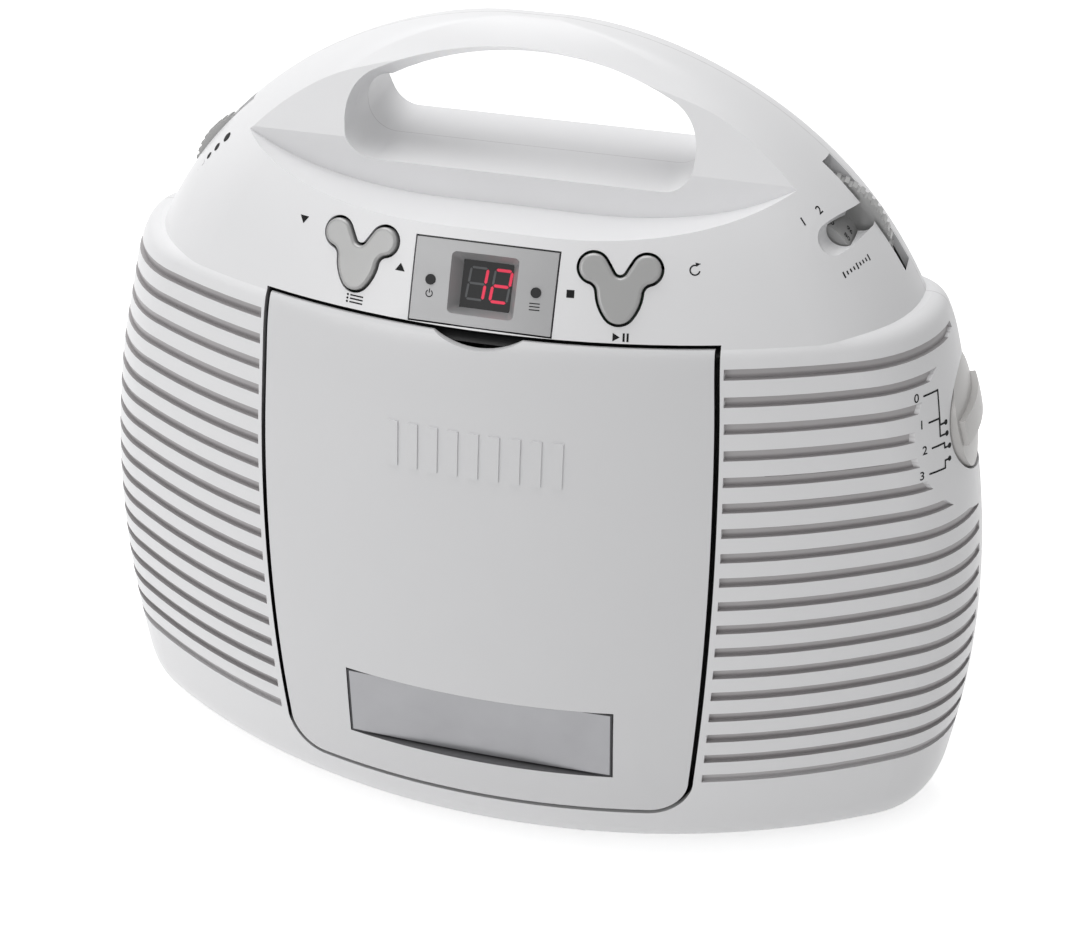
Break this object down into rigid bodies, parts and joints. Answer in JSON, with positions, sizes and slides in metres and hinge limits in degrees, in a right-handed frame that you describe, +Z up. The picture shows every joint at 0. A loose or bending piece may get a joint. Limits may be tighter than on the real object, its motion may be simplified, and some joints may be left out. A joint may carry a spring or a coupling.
{
  "type": "portable disc player radio",
  "caption": "Barrel-shaped portable disc player and radio with a front disc door, grooved side grilles, top carrying handle, thumbwheels, end selector knob and rear telescopic aerial.",
  "frame": {"origin": "middle of the base on the surface it stands on, in the seam plane between the front and rear housings", "axes": "+Z up, -Y towards the front, +X to the right as seen from the front"},
  "size_m": [0.29, 0.1325, 0.2566],
  "materials": {
    "shell_white": "smooth white moulded plastic",
    "key_grey": "satin grey plastic",
    "silver": "brushed silver face",
    "dark_plastic": "black moulded plastic",
    "window": "dark red display window",
    "steel": "plated steel",
    "board": "green circuit board",
    "black_rubber": "soft black rubber",
    "chrome": "polished chrome",
    "cone": "pressed paper, black",
    "copper": "copper winding and brass",
    "ferrite": "sintered ferrite",
    "lens": "clear blue lens"
  },
  "bodies": {
    "housing": {"front_housing": "shell_white", "rear_housing": "shell_white", "hinge_pins": "steel", "disc_well": "dark_plastic", "door_catch": "steel", "drive_chassis": "steel", "drive_isolators": "black_rubber", "chassis_screws": "steel", "spindle_motor": "steel", "guide_rods": "steel", "pickup_motor": "steel", "display_bezel": "silver", "display_window": "window", "display_module": "dark_plastic", "display_board": "board", "indicator_lamps": "dark_plastic", "selector_switch": "dark_plastic", "speaker_screws": "steel", "housing_screws": "steel", "battery_contacts": "steel", "main_board": "board", "board_parts": "dark_plastic", "board_screws": "steel", "transformer": "copper", "mains_inlet": "dark_plastic", "audio_jacks": "dark_plastic", "ferrite_rod": "ferrite", "rubber_feet": "black_rubber", "key_board_left": "board", "key_switches_left": "dark_plastic", "speaker_frame_left": "dark_plastic", "speaker_cone_left": "cone", "speaker_magnet_left": "steel", "key_board_right": "board", "key_switches_right": "dark_plastic", "speaker_frame_right": "dark_plastic", "speaker_cone_right": "cone", "speaker_magnet_right": "steel", "volume_control": "dark_plastic", "tuning_capacitor": "dark_plastic"},
    "door": {"disc_door": "shell_white", "badge_plate": "silver", "door_liner": "dark_plastic", "liner_screws": "steel"},
    "clamp": {"clamp_puck": "dark_plastic"},
    "turntable": {"turntable_hub": "dark_plastic"},
    "sled": {"pickup_sled": "dark_plastic"},
    "lens": {"pickup_lens": "lens"},
    "gear": {"pickup_gear": "key_grey"},
    "rocker_left": {"key_rocker_left": "dark_plastic"},
    "rocker_right": {"key_rocker_right": "dark_plastic"},
    "cap_left": {"key_left": "key_grey"},
    "cap_right": {"key_right": "key_grey"},
    "volume_wheel": {"volume_wheel": "key_grey"},
    "tuning_wheel": {"tuning_wheel": "key_grey"},
    "selector": {"selector_knob": "key_grey"},
    "battery_cover": {"battery_lid": "shell_white"},
    "aerial": {"aerial_base": "chrome"},
    "aerial_middle": {"aerial_middle": "chrome"},
    "aerial_tip": {"aerial_tip": "chrome"}
  },
  "joints": [
    {"name": "door_hinge", "type": "hinge", "parent": "housing", "child": "door", "pos_m": [0, -0.0515, 0.0105], "axis": [1, 0, 0], "range_deg": [0, 45]},
    {"name": "clamp_spin", "type": "hinge", "parent": "door", "child": "clamp", "pos_m": [0, -0.055, 0.104], "axis": [0, 1, 0], "continuous": true},
    {"name": "turntable_spin", "type": "hinge", "parent": "housing", "child": "turntable", "pos_m": [0, -0.05, 0.104], "axis": [0, 1, 0], "continuous": true},
    {"name": "sled_slide", "type": "slide", "parent": "housing", "child": "sled", "axis": [0, 0, -1], "range_m": [0, 0.033]},
    {"name": "gear_turn", "type": "hinge", "parent": "housing", "child": "gear", "pos_m": [0.0304, -0.0375, 0.063], "axis": [0, 1, 0], "range_deg": [-300, 5]},
    {"name": "lens_focus", "type": "slide", "parent": "sled", "child": "lens", "axis": [0, -1, 0], "range_m": [-0.0006, 0.0006], "stiffness_N_per_m": 20},
    {"name": "key_rock_left", "type": "hinge", "parent": "housing", "child": "rocker_left", "pos_m": [-0.03748, -0.0454, 0.19443], "axis": [0.9853, -0.1707, 0], "range_deg": [-2, 2], "stiffness_Nm_per_rad": 0.05},
    {"name": "key_tilt_left", "type": "hinge", "parent": "rocker_left", "child": "cap_left", "pos_m": [-0.03748, -0.0454, 0.19443], "axis": [0.0731, 0.4222, 0.9036], "range_deg": [-2, 2], "stiffness_Nm_per_rad": 0.05},
    {"name": "key_rock_right", "type": "hinge", "parent": "housing", "child": "rocker_right", "pos_m": [0.03748, -0.0454, 0.19443], "axis": [0.9853, 0.1707, 0], "range_deg": [-2, 2], "stiffness_Nm_per_rad": 0.05},
    {"name": "key_tilt_right", "type": "hinge", "parent": "rocker_right", "child": "cap_right", "pos_m": [0.03748, -0.0454, 0.19443], "axis": [-0.0731, 0.4222, 0.9036], "range_deg": [-2, 2], "stiffness_Nm_per_rad": 0.05},
    {"name": "volume_turn", "type": "hinge", "parent": "housing", "child": "volume_wheel", "pos_m": [-0.08395, -0.006, 0.1961], "axis": [0, 1, 0], "range_deg": [-140, 140]},
    {"name": "tuning_turn", "type": "hinge", "parent": "housing", "child": "tuning_wheel", "pos_m": [0.08395, -0.006, 0.1961], "axis": [0, 1, 0], "range_deg": [-140, 140]},
    {"name": "selector_turn", "type": "hinge", "parent": "housing", "child": "selector", "pos_m": [0.13301, 0, 0.1474], "axis": [0.9588, 0, 0.284], "range_deg": [-30, 60]},
    {"name": "battery_cover_pull", "type": "slide", "parent": "housing", "child": "battery_cover", "axis": [0, 1, 0], "range_m": [0, 0.03]},
    {"name": "aerial_turn", "type": "hinge", "parent": "housing", "child": "aerial", "pos_m": [-0.066, 0.0466, 0.1786], "axis": [0, 1, 0], "range_deg": [-180, 0]},
    {"name": "aerial_middle_slide", "type": "slide", "parent": "aerial", "child": "aerial_middle", "axis": [1, 0, 0], "range_m": [0, 0.09]},
    {"name": "aerial_tip_slide", "type": "slide", "parent": "aerial_middle", "child": "aerial_tip", "axis": [1, 0, 0], "range_m": [0, 0.085]}
  ],
  "couplings": [
    {"joint": "gear_turn", "follows": "sled_slide", "rad_per_m": -156.25}
  ]
}
